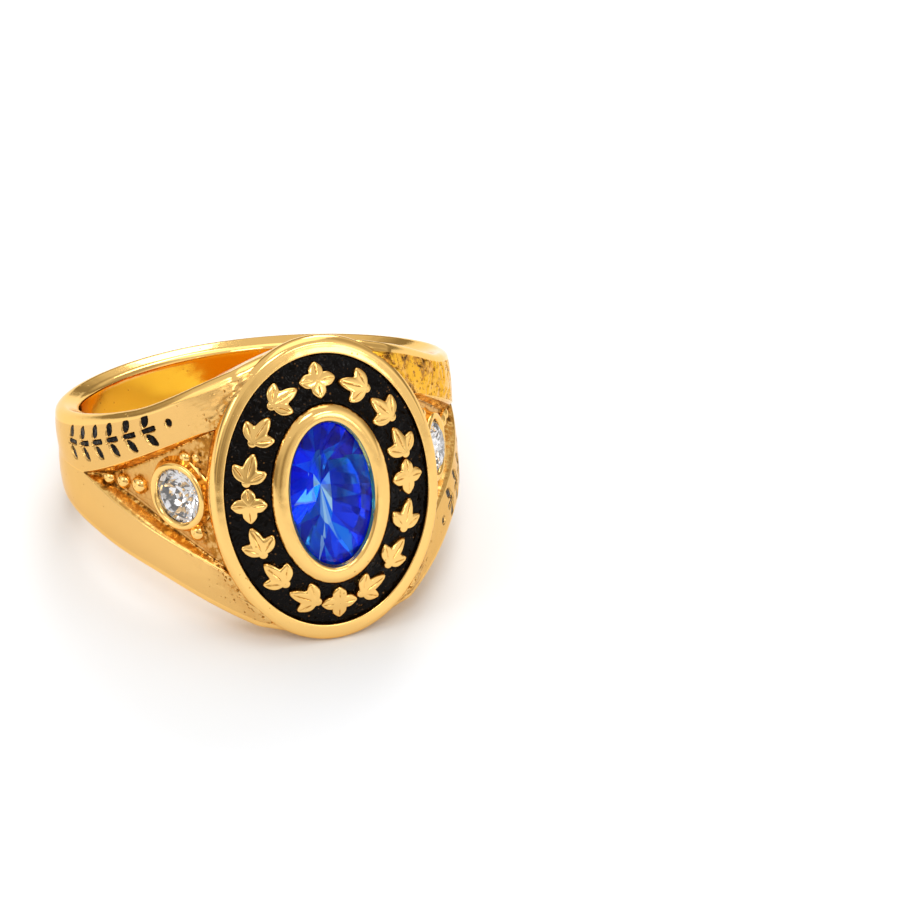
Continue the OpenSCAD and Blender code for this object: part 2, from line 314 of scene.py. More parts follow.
def bump(f, height, depth_mm, strength=1.0, below=None):
    """Relief of that depth in millimetres on top of the relief below it."""
    node = f.add("ShaderNodeBump")
    put(node, Distance=depth_mm * MM, Strength=strength)
    f.join(height, node.inputs["Height"])
    if below is not None:
        f.join(below, node.inputs["Normal"])
    return node.outputs["Normal"]


# %% [markdown]
# ## Gold
# The casting is a warm yellow alloy, and it isn't the same gold everywhere. The head is polished to a
# mirror that has gone a little hazy. The rails are satin. The sunk panels keep the grain of the punch.
# Inside the bore the metal reflects only more metal, and its deep orange is painted into the colour as a
# painted reflection. The rail that came rough from the mould has a deep orange of its own. Brown is
# painted where no wheel reaches, part oxide and part painted shade in the hollows, with a burnt orange
# between it and the gold. Pits of the casting stay beside the head, and a few pinholes are strewn all
# over. The meshes say where the rest is, with attributes from 0 to 1 for satin, stipple, deep orange,
# brown of oxide and painted shade, and pits.

# %% Colour of the gold
GOLD = (0.97, 0.60, 0.19)
SATIN_GOLD = (0.79, 0.47, 0.152)
DEEP_GOLD = (0.92, 0.47, 0.03)
# Burnt orange and dark brown serve both oxide and painted shade in the hollows.
BURNT_GOLD = (0.55, 0.23, 0.03)
OXIDE_AND_SHADE = (0.05, 0.018, 0.005)

gold = Finish("cast_gold")
satin_share, stipple_share, deep_share, oxide_and_shade_share, pits_share = (
    attribute(gold, key) for key in ("satin", "stipple", "deep", "oxide_and_shade", "pits"))
pit_patches = combine(gold, "ADD", pits_share, fit(gold, noise(gold, 2.0), 0.3, 0.7, -0.35, 0.35))
holes = product(gold, fit(gold, cells(gold, 3.4), 0.36, 0.16), fit(gold, pit_patches, 0.35, 0.75))
# Brown where the mesh asks for it: oxide, and painted shade in creases, under the rim and round feet.
stain_and_shade = product(gold, oxide_and_shade_share, fit(gold, noise(gold, 3.0, 4, 0.6), 0.32, 0.62), clamp=True)
dark = larger(gold, stain_and_shade, product(gold, holes, 0.55))
pinholes = product(gold, fit(gold, cells(gold, 2.3), 0.13, 0.07), fit(gold, noise(gold, 0.7), 0.52, 0.6))
dark = larger(gold, dark, product(gold, pinholes, 0.3))
# Deep orange: a painted reflection in the bore, the rough rail's own tone, and a share on the panels.
deep_here = larger(gold, deep_share, product(gold, stipple_share, 0.45))
warm = mix(gold, deep_here, GOLD, DEEP_GOLD)
warm = mix(gold, larger(gold, satin_share, stipple_share), warm, SATIN_GOLD)
browned = mix(gold, fit(gold, dark, 0.0, 0.5), warm, BURNT_GOLD)
gold.set(Base_Color=mix(gold, fit(gold, dark, 0.4, 1.0, 0.0, 0.95), browned, OXIDE_AND_SHADE), Metallic=1.0)
gold.set(Coat_Weight=0.05, Coat_Roughness=0.05, Coat_IOR=1.5, Specular_Tint=(1.0, 0.86, 0.6))

# %% [markdown]
# How sharp a reflection is tells the eye how the metal was finished, so roughness varies more than colour
# does. Relief goes from large to small: a slow wave that no hand polish quite removes, fine scratches,
# the odd nick, the grain of the punch, and the pits.

# %% Roughness and relief of the gold
haze = fit(gold, noise(gold, 0.9, 4, 0.6), 0.35, 0.7, 0.07, 0.12)
brushed = combine(gold, "ADD", product(gold, stipple_share, 0.25), product(gold, satin_share, 0.12))
dull = combine(gold, "ADD", brushed, product(gold, dark, 0.35))
gold.set(Roughness=combine(gold, "ADD", haze, dull, clamp=True))

wave = bump(gold, noise(gold, 0.55), 0.05, 0.5)
scratches = bump(gold, noise(gold, 14, 3, 0.7, 1.5), 0.002, 0.5, wave)
nicks = bump(gold, combine(gold, "SUBTRACT", 1.0, pinholes), 0.03, 1.0, scratches)
grain = product(gold, stipple_share, noise(gold, 7.0, 3, 0.65))
punched = bump(gold, grain, 0.06, 1.0, nicks)
gold.set(Normal=bump(gold, combine(gold, "SUBTRACT", 1.0, holes), 0.07, 1.0, punched))
print("gold has", len(gold.tree.nodes), "nodes")

# %% [markdown]
# ## Black enamel
# The enamel is black glass fused into the channel. It is glossy but far from flat: it ripples, it has
# shrunk in places, and flecks of the casting show through it as rusty specks. The engraved rails hold the
# same black, laid in thinner and less worn.

# %% Enamel
BLACK = (0.003, 0.002, 0.0015)
RUST = (0.20, 0.09, 0.025)


def enamel(name, wear):
    """Black glass: flecks are cell centres inside cloudy patches, and wear says how strongly they show."""
    black = Finish(name)
    patches = fit(black, noise(black, 1.1, 3, 0.6), 0.45, 0.6)
    flecks = product(black, fit(black, cells(black, 2.6), 0.22, 0.05), patches)
    rubbed = fit(black, noise(black, 5.0, 4, 0.7), 0.62, 0.8)
    worn = product(black, larger(black, flecks, rubbed), wear)
    rolling = bump(black, noise(black, 1.6, 2, 0.5, 0.4), 0.25, 1.0)
    black.set(Base_Color=mix(black, worn, BLACK, RUST), IOR=1.5, Specular_IOR_Level=0.07,
              Roughness=fit(black, noise(black, 2.5, 3, 0.6), 0.35, 0.7, 0.06, 0.25),
              Normal=bump(black, flecks, 0.03, 0.7, rolling))
    return black.material


channel_black = enamel("channel_black", 1.0)
rail_black = enamel("rail_black", 0.45)
print("enamels:", channel_black.name, rail_black.name)

# %% [markdown]
# ## Cut stones
# A cut stone is mostly its underside seen through its crown. In a ring like this the underside is backed
# with foil, so each stone has two finishes: clear glass above the girdle and a bright foil below it. The
# eye then sees flashes of the studio, broken up by the facets.

# %% Clear stones


def crown_glass(name, colour, index, mirror):
    """Clear glass that bends light by its index, tints it on the way through and mirrors some of it."""
    glass = Finish(name)
    glass.set(Base_Color=colour, Transmission_Weight=1.0, Roughness=0.0)
    glass.set(IOR=index, Specular_IOR_Level=mirror)
    return glass.material


def foil(name, sheen, blur):
    """A foil, partly mirror and partly paper: sheen is the mirror's share and blur its roughness."""
    backing = Finish(name)
    backing.set(Base_Color=(0.95, 0.94, 0.95), Metallic=sheen, Roughness=blur, Specular_IOR_Level=0.0)
    return backing


clear_crown = crown_glass("clear_crown", (1.0, 1.0, 1.0), index=1.7, mirror=0.5)
silver_foil = foil("silver_foil", sheen=0.85, blur=0.03).material
print("clear stone:", clear_crown.name, silver_foil.name)

# %% [markdown]
# The blue stone is never one blue. Its facets run from violet at the rim, over royal blue, to cyan and
# nearly white where two of them catch the light. That light and shade is painted: each facet of its foil
# carries a number, from painted shade at 0 to painted highlight at 1, and a colour ramp turns it into
# one of these blues. Its crown is tinted, and it bends and mirrors only a little, because the sky's
# reflection in real glass would turn these blues milky.

# %% Blue stone
# Violet is painted shade at the rim, royal blue the stone's own, cyan to nearly white a painted highlight.
BLUES = {0.0: (0.035, 0.001, 0.3), 0.45: (0.006, 0.065, 1.0), 0.78: (0.02, 0.29, 1.0),
         1.0: (0.8, 1.0, 1.0)}


def ramp(f, value, colours):
    """The colour that a table of places from 0 to 1 and their colours gives for a value."""
    node = f.add("ShaderNodeValToRGB")
    f.join(value, node.inputs["Fac"])
    stops = node.color_ramp.elements
    for place in list(colours)[1:-1]:
        stops.new(place)
    for stop, (place, colour) in zip(stops, colours.items()):
        stop.position, stop.color = place, (*colour, 1)
    return node.outputs["Color"]


blue_crown = crown_glass("blue_crown", (0.58, 0.8, 1.0), index=1.25, mirror=0.15)
blue_backing = foil("blue_foil", sheen=0.65, blur=0.08)
blues = ramp(blue_backing, attribute(blue_backing, "painted_flash"), BLUES)
blue_backing.set(Base_Color=blues, Specular_Tint=(0.1, 0.4, 1.0))
blue_foil = blue_backing.material
print("blues:", len(BLUES))

# %% [markdown]
# ## The band
# The band is cast in one with the head. Seen from the side it widens from the back of the finger to the
# full length of the head, and its shoulders swell outward before the head meets them. Both are powers of
# the way round, with the same numbers as the CAD's, so that the smooth skin and the faceted solid agree.

# %% Width and radius of the band
band_t, half_w0, shoulder_gain, gain_power, soft_stop = 1.5, 1.95, 7.25, 2.75, 14
shoulder_flare, flare_from, flare_to = 0.95, 128, 168
shoulder_swell, swell_power, swell_from, swell_span = 2.35, 1.75, 100, 60
face_h, channel_depth, cut_off_from = 13.75, 0.55, 140


def flare(a):
    """A smooth step from 0 on the shank to 1 beside the head."""
    return smooth((np.abs(a) - flare_from) / (flare_to - flare_from))


def half_w(a):
    """Half width: that of the back, plus a power of the way round, plus the flare."""
    way = np.maximum(0, 1 - np.hypot(180 - np.abs(a), soft_stop) / 180)
    return half_w0 + shoulder_gain * way**gain_power + shoulder_flare * flare(a)


def outer_r(a):
    """Outer radius: finger plus band, plus a power of the way into the swell, cut off under the face."""
    way = np.maximum(0, np.abs(a) - swell_from) / swell_span
    r = finger_r + band_t + shoulder_swell * way**swell_power
    under_face = (face_h - channel_depth - 0.1) / np.maximum(-np.cos(np.radians(a)), 0.5)
    return np.where(np.abs(a) > cut_off_from, np.minimum(r, under_face), r)


print("half width at the back and under the head:", np.round(half_w(np.array([0, 180])), 2))

# %% [markdown]
# Each shoulder is split into two rails by a sunk panel. The panel is a wedge that starts as a point and
# opens towards the head. It is deepest half-way along.

# %% The sunk panel
panel_from, panel_to, panel_half, wall_lean = 102, 150, 3.87, 0.6
panel_shallow, panel_dip, dip_span, panel_end, panel_fade = 0.3, 0.55, 51, 164, 6


def panel_h(a):
    """Half height of the panel at the rail's surface: a power of the way from its point to the head."""
    return panel_half * (np.maximum(0, np.abs(a) - panel_from) / (panel_to - panel_from)) ** 1.2


def panel_d(a):
    """Depth: a constant plus half a sine wave, faded in at the point and out under the head."""
    way = np.clip((np.abs(a) - panel_from) / dip_span, 0, 1)
    inside = smooth((np.abs(a) - panel_from) / panel_fade) * smooth((panel_end - np.abs(a)) / panel_fade)
    return inside * (panel_shallow + panel_dip * np.sin(np.pi * way))


print("panel depth half-way:", round(float(panel_d(127.5)), 2), "mm")

# %% [markdown]
# A cross section of the band is a chain of short runs: bore, rounded lip, side, rounded edge, rail, and
# then down the panel's wall to its floor. Each run keeps its number of points all the way round, so its
# creases fall on grid lines and stay crisp without a dense mesh. There are nine runs, and four of them
# are asked for by number later. The first four make the inside, the side and its edge.

# %% Runs of the section: bore, lip, side and edge
BORE, EDGE, RAIL, WALL = 0, 3, 4, 6
bore_bevel, edge_back, edge_front, inset_back, inset_flare = 0.35, 0.6, 0.45, 0.2, 0.6


def edge_r(a):
    """Rounding of the outer edge: it shrinks by a smooth step from the back to the shoulders."""
    return edge_back + (edge_front - edge_back) * smooth((np.abs(a) - 90) / 40)


def inner_runs(a):
    """Radius and height of bore, lip, side and edge: the lip and the edge are quarter circles."""
    outer, ro, e = half_w(a), outer_r(a), edge_r(a)
    inner = outer - inset_back - inset_flare * flare(a)
    lip = np.radians(np.linspace(0, 90, 7))
    turn = lip[::-1]
    side = np.linspace(0, 1, 7)[1:-1]
    return [
        (finger_r + 0 * a, (inner - bore_bevel) * np.linspace(0, 1, 9)[:-1]),
        (finger_r + bore_bevel * (1 - np.cos(lip)), inner - bore_bevel * (1 - np.sin(lip))),
        (finger_r + bore_bevel + (ro - e - finger_r - bore_bevel) * side, inner + (outer - inner) * side),
        (ro - e + e * np.cos(turn), outer - e + e * np.sin(turn)),
    ]


# %% [markdown]
# The other runs cross the rail, which is slightly crowned, round the crease at the panel's edge, go down
# its wall and cross its floor. A few lines lie at fixed distances from the wall's foot, for the line
# scored there.

# %% Runs of the section: rail, wall and floor


def outer_runs(a):
    """Radius and height across the rail, round the crease, down the leaning wall and along the floor."""
    outer, ro, e, h, d = half_w(a), outer_r(a), edge_r(a), np.maximum(panel_h(a), 0.02), panel_d(a)
    crease = np.minimum(0.07, 0.4 * h)
    foot = np.maximum(h - wall_lean * d, 0.3 * h)
    across, down, steps = np.linspace(0, 1, 42)[1:], np.linspace(0, 1, 5), np.linspace(0, 1, 11)[1:]
    margin = np.minimum(0.34 * steps, 0.4 * foot * steps)
    return [
        (ro + 0.05 * np.sin(np.pi * across), outer - e + (h + crease - outer + e) * across),
        (ro - crease * np.array([0.12, 0.45]), h + crease * np.array([0.45, 0.1])),
        (ro - crease + (crease - d) * down, h + (foot - h) * (0.1 + 0.9 * down)),
        (ro - d + 0 * margin, foot - margin),
        (ro - d + 0 * steps, (foot - margin[:, -1:]) * np.linspace(1, 0, 11)[1:]),
    ]


# %% [markdown]
# The section is carried round the finger, in small steps where the shoulders have their detail and larger
# ones round the plain back. Its lower half mirrors the upper one.

# %% The band's grid
half_turn = np.concatenate([np.arange(0, 90, 2.0), np.arange(90, 95, 1.0), np.arange(95, 146, 0.32),
                            np.arange(146, 180, 1.0)])
angles = np.concatenate([-half_turn[:0:-1], half_turn, [180.0]])[:, None]
runs = [np.broadcast_arrays(r, z + 0 * angles) for r, z in inner_runs(angles) + outer_runs(angles)]
run_of = np.repeat(np.arange(len(runs)), [r.shape[1] for r, _ in runs])
upper_r, upper_z = (np.concatenate(lines, 1) for lines in zip(*runs))
radius = np.concatenate([upper_r, upper_r[:, -2:0:-1]], 1)
height = np.concatenate([upper_z, -upper_z[:, -2:0:-1]], 1)
run_of = np.concatenate([run_of, run_of[-2:0:-1]])
angle = np.broadcast_to(angles, radius.shape)
turn = np.abs(angle)
skin = around(angle, radius, height)
on_rail, on_outside, on_floor = run_of == RAIL, run_of >= EDGE, run_of >= WALL
print("band grid:", radius.shape)

# %% [markdown]
# ## Where the band meets the head
# Much on the band depends on how far a point is from the head's oval wall: the rails rise to it in a
# hollow curve, pits crowd there, painted shade and oxide brown it, and under the head the skin sinks away
# so that it can't cut through the stone's cup. One distance serves them all.

# %% Distance to the head's wall
head_a, head_b, FAR = 6.8, 9.1, 9.0


def oval_distance(points):
    """About how far outside the head's oval a point is: its relative radius minus 1, over its slope."""
    x, y, z = np.moveaxis(points, -1, 0)
    q = np.maximum(np.hypot(x / head_a, z / head_b), 1e-6)
    slope = np.hypot(x / head_a**2, z / head_b**2) / q
    return np.where(y < -4, (q - 1) / np.maximum(slope, 1e-6), FAR)


def fade(distance, reach):
    """Falls off from 1: e to the minus distance over reach, with the distance held above 0."""
    return np.exp(-np.maximum(distance, 0) / reach)


wall_gap = oval_distance(skin)
near_head = fade(wall_gap, 0.55)
hollow_on_rail, hollow_elsewhere, hollow_from = 0.5, 0.22, 120
hollow = np.where(on_rail, hollow_on_rail, hollow_elsewhere) * fade(wall_gap, 0.38) * (turn > hollow_from)
under_head = smooth((-wall_gap - 0.7) / 0.8)
print("closest to the wall:", round(float(np.abs(wall_gap).min()), 3), "mm")

# %% [markdown]
# ## Engraved sprigs
# The upper rail of the left shoulder and the lower rail of the right one carry a row of engraved sprigs:
# a short stem with a pair of leaves, six times, and a berry at the end. The skin sinks where a point lies
# inside their outline. Distance to the outline, put through a smooth step, gives walls that lean a
# little.

# %% Distance to a sprig
sprig_from, sprig_pairs, sprig_pitch, berry_r, berry_back = 98, 6, 7.4, 0.22, 0.5
stem_length, stem_width, engraving_depth = 1.12, 0.26, 0.3
leaf_length, leaf_width, leaf_angle, root_x, root_y = 1.05, 0.52, math.radians(50), -0.35, 0.2


def rail_z(a):
    """Height of the rail's centre line: half-way between the band's edge and the panel's."""
    return (half_w(a) + panel_h(a)) / 2


def leaf_distance(x, y, length, width):
    """About how far outside a leaf from the origin along +X a point is: its edges are parabolas."""
    way = x / length
    return (np.abs(y) - 2 * width * way * (1 - way)) / np.hypot(1, 2 * width * (1 - 2 * way) / length)


def pair_distance(x, y):
    """Least distance to a stem, which is a box, and to the two leaves that lean out from it."""
    nearest = np.maximum(np.abs(x) - stem_length / 2, np.abs(y) - stem_width / 2)
    for side in (-1, 1):
        u, v = x - root_x, y - root_y * side
        c, s = math.cos(leaf_angle), side * math.sin(leaf_angle)
        nearest = np.minimum(nearest, leaf_distance(u * c + v * s, v * c - u * s, leaf_length, leaf_width))
    return nearest


# %% [markdown]
# A point is taken into each sprig's own flat frame, which lies along the rail and follows its slope and
# its lean. The rest of the grid is left out, because only points on the engraved rails can be inside. The
# right shoulder is the left one turned half round, so X and Z change their signs there.

# %% Depth of the engraving


def engraved_distance(points, z):
    """Least distance to the row of pairs and to the berry, for rail points on the left shoulder."""
    nearest = np.full(z.shape, FAR)
    for i in range(sprig_pairs + 1):
        at = sprig_from + i * sprig_pitch - (berry_back if i == sprig_pairs else 0)
        s, c = math.sin(math.radians(at)), math.cos(math.radians(at))
        slope = (outer_r(at + 0.5) - outer_r(at - 0.5)) * 180 / math.pi / outer_r(at)
        along = np.array([-c - slope * s, -s + slope * c, 0]) / math.hypot(1, slope)
        x, y = (points - around(at, outer_r(at), 0.0)) @ along, z - rail_z(at)
        if i == sprig_pairs:
            return np.minimum(nearest, np.hypot(x, y) - berry_r)
        lean = math.atan((rail_z(at + 1) - rail_z(at - 1)) / (outer_r(at) * math.pi / 90))
        x, y = x * math.cos(lean) + y * math.sin(lean), y * math.cos(lean) - x * math.sin(lean)
        nearest = np.minimum(nearest, pair_distance(x, y))


SHOULDERS = {"left": (1, 1, 1), "right": (-1, 1, -1)}
engraved_z = np.where(angle > 0, height, -height)
left_skin = np.where((angle > 0)[..., None], skin, skin * SHOULDERS["right"])
could_be = on_rail & (engraved_z > 0) & (turn > sprig_from - 6)
to_outline = engraved_distance(left_skin[could_be], engraved_z[could_be])
engraving = np.zeros(radius.shape)
engraving[could_be] = engraving_depth * smooth((0.05 - to_outline) / 0.1)
print("engraved points:", int((engraving > engraving_depth / 2).sum()))

# %% [markdown]
# ## Beads and settings on the panels
# Three beads lead from the panel's point to its stone, and three smaller ones fill the corners by the
# head. Their places are needed now, because brown of oxide and painted shade is painted round the foot
# of each and round the foot of the stone's bezel.

# %% Places on the panel
side_at, side_r, side_wall = 143, 1.65, 0.42
bead_at = np.array([113.2, 119.6, 126.6, 146.6, 145.0, 148.6])
bead_z = np.array([0.0, 0.0, 0.0, -2.2, 2.25, 2.35])
bead_r = np.array([0.44, 0.48, 0.55, 0.54, 0.43, 0.36])


def floor_r(a):
    """Radius of the panel's floor."""
    return outer_r(a) - panel_d(a)


def feet_distance(a, z):
    """Least distance on the floor to the foot of a bead or of the bezel, from arc and height."""
    at, up, r = np.append(bead_at, side_at), np.append(bead_z, 0.0), np.append(bead_r, side_r + side_wall)
    gaps = np.hypot(np.radians(a[..., None] - at) * floor_r(a)[..., None], z[..., None] - up) - r
    return np.abs(gaps.min(-1))


stone_gap = np.hypot(np.radians(turn - side_at) * floor_r(side_at), height)
under_stone = smooth((1.95 - stone_gap) / 0.25) * (turn > 90) * (1 - under_head)
print("panel floor at the stone:", round(float(floor_r(side_at)), 2), "mm from the axis")

# %% [markdown]
# ## The skin's fine relief
# Cast gold keeps lumps and pits that polishing doesn't reach. Lattice noise gives them at any size:
# random values at the corners of a cubic lattice, blended smoothly in between. A slower ripple keeps
# reflections from looking machined.

# %% Lumps and ripples


def lumps(points, size, seed):
    """Lattice noise from 0 to 1: the eight corner values round a point, weighted by smooth steps."""
    table = np.random.default_rng(seed).random((32, 32, 32))
    cell = np.floor(points / size).astype(int)
    share = smooth(points / size - cell)
    total = 0.0
    for corner in np.ndindex(2, 2, 2):
        x, y, z = np.moveaxis((cell + corner) % 32, -1, 0)
        total = total + table[x, y, z] * np.where(corner, share, 1 - share).prod(-1)
    return total


def ripple(points, size, seed):
    """The mean of three sine waves of that length that run in random directions."""
    draw = np.random.default_rng(seed)
    ways = draw.normal(size=(3, 3))
    ways *= 2 * np.pi / size / np.linalg.norm(ways, axis=1, keepdims=True)
    return np.sin(points @ ways.T + draw.uniform(0, 2 * np.pi, 3)).mean(-1)


# %% [markdown]
# The rails are pitted in the last millimetre before the head, except right behind its top and bottom. The
# right shoulder's upper rail came rough from the mould, with pits and lumps all over. The panels have a
# fine grain, and in each a line is scored beside the wall away from the engraved rail.

# %% Pits, grain and the scored line
rough_rail = smooth((-angle - 112) / 12) * (height > 0) * on_rail
behind_head = smooth((turn - 164) / 10)
pits = on_rail * np.maximum(near_head * smooth(wall_gap + 1) * (1 - behind_head), 0.6 * rough_rail)
pitted = pits * smooth((0.55 * lumps(skin, 0.32, 21) + 0.45 * lumps(skin, 0.17, 22) - 0.52) / 0.1)
heaped = rough_rail * (smooth((lumps(skin, 0.95, 31) - 0.35) / 0.3) - 0.5)
floor_edge = np.maximum(panel_h(angle) - wall_lean * panel_d(angle), 0) - np.abs(height)
in_panel = on_floor & (panel_d(angle) > 0.02)
grainy = in_panel * smooth(floor_edge / 0.15) * lumps(skin, 0.2, 23)
scored = np.exp(-((floor_edge - 0.2) / 0.035) ** 2) * (engraved_z < 0) * in_panel
print("pitted share of the rails:", round(float((pitted > 0.5).sum() / on_rail.sum() / len(angles)), 3))

# %% [markdown]
# Now the skin is put together: hollow curve, ripple, engraving, pits, lumps, grain and line, and the
# places under head and stones where it drops out of sight. Brown is painted in the crevices, part oxide
# and part painted shade, and it stays in the pits and as a crust on the rough rail beside the head.

# %% The band's piece


def cast(name, points, blocks, marks=None):
    """A piece of the gold casting, with the attributes that mark its finish."""
    make_piece(name, points, blocks, [gold.material], "ring_body", marks)


uneven = 0.012 * (ripple(skin, 3.1, 4) - 1)
cut = engraving + 0.09 * pitted - 0.09 * heaped + 0.03 * grainy + 0.035 * scored
radius = radius + on_outside * (hollow + uneven) - cut
radius = radius - on_outside * (2.0 * under_head + 1.3 * under_stone)
skin = around(angle, radius, height)

# Brown at the panels' walls and points, by the head and round the feet: oxide and painted shade.
crevices = (0.9 * fade(np.abs(floor_edge), 0.09) + 0.55 * fade(wall_gap, 0.15)
            + 0.4 * fade(turn - panel_from, 3) + fade(feet_distance(turn, engraved_z), 0.09)
            + 0.3 * (run_of == WALL))
crust = rough_rail * smooth((-angle - 135) / 12) * smooth((lumps(skin, 1.3, 33) - 0.4) / 0.15)
oxide_and_shade = in_panel * (crevices + 0.04) + 0.2 * rough_rail * (heaped < -0.2) + 0.4 * pitted + 0.8 * crust
# In the bore, deep is a painted reflection of gold in gold; on the rough rail it is the metal's own tone.
marks = {"stipple": in_panel * smooth(floor_edge / 0.1), "pits": pits, "oxide_and_shade": oxide_and_shade.clip(0, 1),
         "deep": np.maximum(rough_rail, run_of == BORE), "satin": on_rail * (1 - rough_rail)}
cast("casting_band", skin.reshape(-1, 3), [grid_faces(*radius.shape, closed_rows=True)], marks)

# %% [markdown]
# ## The head
# The head is one profile carried round an oval: wall, rounded rim, sunk channel, and the domed bezel that
# holds the stone. The ends of the oval are drawn a little wider than its sides, so each point of the
# profile has one inset for the sides and one for the ends, and it may have two heights as well.

# %% An oval of the head
rim_side, rim_end, channel_side, channel_end, channel_rise = 0.72, 1.0, 2.57, 2.74, 1.0
floor_side, floor_end = rim_side + channel_side, rim_end + channel_end


def oval_rings(rows, steps):
    """An oval for each row: inset at the side and at the end, height at the side and at the end."""
    t = np.linspace(0, 2 * np.pi, steps, endpoint=False)
    side, end, high, end_high = (column[:, None] for column in np.asarray(rows, float).T)
    x = (head_a - side) * np.cos(t)
    z = (head_b - end) * np.sin(t)
    return np.stack([x, -face_h - high + (high - end_high) * np.sin(t) ** 2, z], -1)


def rows_of(side, end, high, end_high=None):
    """Rows from arrays of insets and heights. The ends have the sides' height where none is given."""
    return np.stack(np.broadcast_arrays(side, end, high, high if end_high is None else end_high), -1)


# %% [markdown]
# The outside runs up a wall that leans in at its foot, over a rim rounded by a quarter of an oval, and
# across the rim's top, which rises a few hundredths of a millimetre to its sharper inner edge.

# %% Wall and rim
v = np.linspace(0, 1, 9)
foot_rows = rows_of(2.0 - 1.6 * v, 1.5 - 0.95 * v, -3.4 + v, -2.6 + 0.9 * v)[:-1]
wall_rows = rows_of(0.4 * (1 - v) ** 1.5 + 0.02 * v, 0.55 * (1 - v) ** 1.5 + 0.02 * v, -2.4 + 1.75 * v,
                    -1.7 + 1.05 * v)
round_side, round_end, round_h, corner_side, corner_end, corner_h = 0.35, 0.5, 0.5, 0.07, 0.08, 0.125
rim_top = 0.045
quarter = np.radians(np.linspace(0, 90, 10))
rim_rows = rows_of(round_side * (1 - np.cos(quarter)), round_end * (1 - np.cos(quarter)),
                   round_h * (np.sin(quarter) - 1))[1:]
flat_rows = rows_of(round_side + (rim_side - round_side - corner_side) * v,
                    round_end + (rim_end - round_end - corner_end) * v, rim_top * v * (1.6 - 0.6 * v))[1:]
corner = quarter[2::2]
inner_rows = rows_of(rim_side - corner_side * (1 - np.sin(corner)),
                     rim_end - corner_end * (1 - np.sin(corner)),
                     rim_top + corner_h * (np.cos(corner) - 1))
print("rim is", rim_side, "mm wide at the sides and", rim_end, "mm at the ends")

# %% [markdown]
# Inside the rim the channel's floor climbs towards the stone. The bezel is a dome of two curves, a long
# one outside its crest and a short one inside, and it ends in a sharp lip over the stone. Below the lip
# the cup falls away under the stone.

# %% Channel, bezel and cup
bezel_t, crest, stone_a, stone_b, clearance = 1.07, 0.8, 2.75, 4.575, 0.03
drop = np.array([0.2, 0.4, channel_depth])
channel_rows = [rows_of(rim_side, rim_end, -drop),
                rows_of(rim_side + channel_side * v, rim_end + channel_end * v,
                        channel_rise * v - channel_depth)[1:],
                rows_of(floor_side, floor_end, np.array([channel_rise - 0.35, channel_rise - 0.1]))]
bezel_foot, bezel_dome = channel_rise - 0.05, 0.29
inward = bezel_t * np.linspace(0, 1, 19) ** 1.2
past_crest = ((inward - crest) / (bezel_t - crest)).clip(0)
fall = np.where(inward < crest, (1 - inward / crest).clip(0) ** 3.2, past_crest**2.4)
bezel_rows = rows_of(floor_side + inward, floor_end + inward, bezel_foot + bezel_dome * (1 - fall))
seat_side, seat_end = head_a - stone_a - clearance, head_b - stone_b - clearance
cup_rows = [rows_of(floor_side + bezel_t + 0.02, floor_end + bezel_t + 0.02,
                    channel_rise - np.array([0.07, 0.1])),
            rows_of(seat_side, seat_end, channel_rise - np.array([0.27, 0.6])),
            rows_of(seat_side + (head_a - 1 - seat_side) * v, seat_end + (head_b - 2.4 - seat_end) * v,
                    0.4 - 2.55 * v)[1:]]
print("bezel crest", round(bezel_foot + bezel_dome, 2), "mm above the rim")

# %% [markdown]
# The wall keeps pits in the shade under the rim, and painted shade browns it there, so the attributes
# follow its height. The channel's edges are lined with painted shade, and the cup under the stone is
# painted dark all over, a painted shadow under the stone.

# %% The head's piece
head_steps = 300


def per_point(values, steps=1):
    """The value of each ring of a stack for each of its points, and 0 for the two poles."""
    return np.append(np.repeat(values, steps), [0, 0])


profile = np.concatenate([foot_rows, wall_rows, rim_rows, flat_rows, inner_rows, *channel_rows, bezel_rows,
                          *cup_rows])
points, blocks = stack_with_poles(oval_rings(profile, head_steps))
row = np.arange(len(profile))
on_wall = row < len(foot_rows) + len(wall_rows)
cup_start = len(profile) - sum(map(len, cup_rows))
bezel_start = cup_start - len(bezel_rows)
in_channel = (row > bezel_start - sum(map(len, channel_rows)) - 3) & (row < bezel_start + 2)
shade = smooth((-0.75 - profile[:, 2]) / 0.7) * on_wall
# Painted shade: brown on the wall under the rim and along the channel's edges, and dark in the cup.
stained_and_shaded = 0.8 * shade + 0.9 * in_channel + 2.5 * (row >= cup_start)
cast("casting_head", points, blocks,
     {"pits": per_point(0.4 * shade, head_steps), "oxide_and_shade": per_point(stained_and_shaded, head_steps)})

# %% [markdown]
# ## Raised ornament in the channel
# Sixteen small castings stand in the channel: a rosette at each end and each side, and three-leaved
# sprigs between them that climb both sides like a laurel wreath. Seen from its own middle, an ornament's
# outline is a radius for every direction, namely the longest reach of its leaves that way.

# %% Outlines of the ornaments
directions = np.linspace(-np.pi, np.pi, 120, endpoint=False)
LEAVES = {"rosette": [(k * math.pi / 2, 1.12, 0.9) for k in range(4)],
          "sprig": [(0.0, 1.85, 0.84), (math.radians(50), 1.38, 0.78), (-math.radians(50), 1.38, 0.78)]}
HUBS = {"rosette": (0.44, 0.0), "sprig": (0.3, -0.83)}


def leaf_reach(turned, length, width):
    """Where the ray in each direction leaves a leaf with parabolic edges that points along the turn."""
    way = np.minimum(np.abs((directions - turned + np.pi) % (2 * np.pi) - np.pi), 1.4)
    return np.clip(1 - np.tan(way) * length / (2 * width), 0, 1) * length / np.cos(way)


def outline(kind):
    """The longest reach of leaves and hub, softened by a short running mean."""
    hub = np.full(len(directions), HUBS[kind][0])
    reach = np.maximum.reduce([leaf_reach(*leaf) for leaf in LEAVES[kind]] + [hub])
    return sum(w * np.roll(reach, k) for k, w in zip((-2, -1, 0, 1, 2), (1, 2, 3, 2, 1))) / 9


